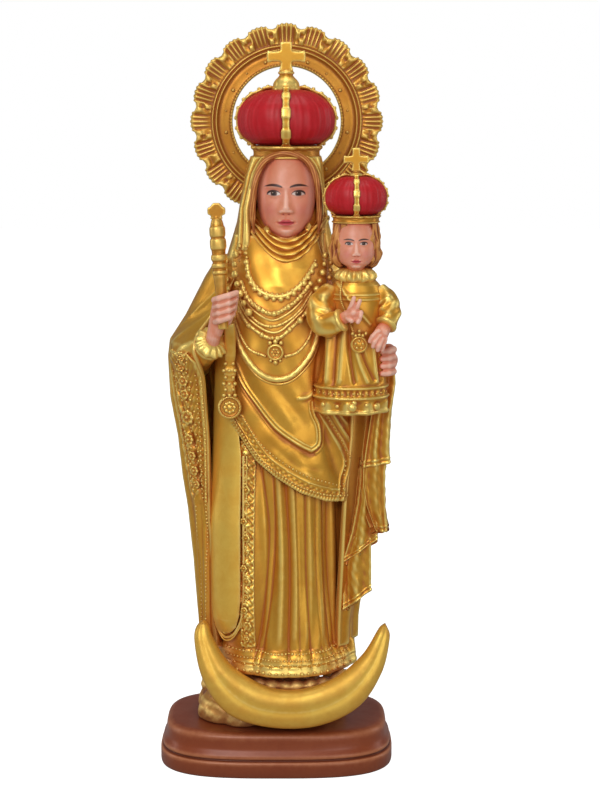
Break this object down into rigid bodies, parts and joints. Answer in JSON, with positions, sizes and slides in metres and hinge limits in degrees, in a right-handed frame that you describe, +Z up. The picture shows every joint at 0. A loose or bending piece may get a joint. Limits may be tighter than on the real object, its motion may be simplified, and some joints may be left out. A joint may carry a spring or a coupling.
{
  "type": "madonna statue",
  "caption": "Standing crowned madonna with a crowned child on the left arm, scepter in the right hand, pierced halo behind and crescent moon below, on a stepped oval plinth.",
  "frame": {"origin": "middle of the underside of the felt pad, on the surface the statue stands on", "axes": "+Z up; -Y is the front that the figure faces; +X is the figure's left, where the child sits"},
  "size_m": [0.098, 0.0701, 0.3045],
  "materials": {
    "gold_paint": "satin metallic gold paint over a cast figure, with a brown wash in the recesses",
    "hair_paint": "auburn and gold paint",
    "flesh_paint": "satin flesh paint",
    "red_paint": "satin red paint",
    "copper_paint": "satin copper brown paint",
    "felt": "short felt",
    "dowel": "plain",
    "steel": "zinc plated"
  },
  "bodies": {
    "root": {"chest_pendant": "gold_paint", "child_collar": "gold_paint", "child_crown_arches": "gold_paint", "child_crown_band": "gold_paint", "child_crown_cap": "red_paint", "child_crown_cross": "gold_paint", "child_crown_orb": "gold_paint", "child_dowel": "dowel", "child_gown": "gold_paint", "child_hair": "hair_paint", "child_head": "flesh_paint", "child_left_hand": "flesh_paint", "child_left_sleeve": "gold_paint", "child_locket": "gold_paint", "child_right_hand": "flesh_paint", "child_right_sleeve": "gold_paint", "cloud_mound": "gold_paint", "cowl": "gold_paint", "crescent_moon": "gold_paint", "crown_arches": "gold_paint", "crown_band": "gold_paint", "crown_cap": "red_paint", "crown_cross": "gold_paint", "crown_orb": "gold_paint", "felt_pad": "felt", "gown": "gold_paint", "gown_hem_band": "gold_paint", "halo": "gold_paint", "halo_screw": "steel", "head": "flesh_paint", "left_hand": "flesh_paint", "left_sleeve": "gold_paint", "mantle": "gold_paint", "mantle_border": "gold_paint", "mantle_cascade": "gold_paint", "moon_dowel": "dowel", "necklace_beaded": "gold_paint", "necklace_long": "gold_paint", "necklace_middle": "gold_paint", "necklace_short": "gold_paint", "plinth": "copper_paint", "plinth_screw_left": "steel", "plinth_screw_right": "steel", "right_hand": "flesh_paint", "right_sleeve": "gold_paint", "rosary_medal": "gold_paint", "sceptre": "gold_paint", "sceptre_cross": "gold_paint", "skirt_braid": "gold_paint", "skirt_panel": "gold_paint", "tunic": "gold_paint", "veil": "gold_paint"}
  },
  "joints": []
}
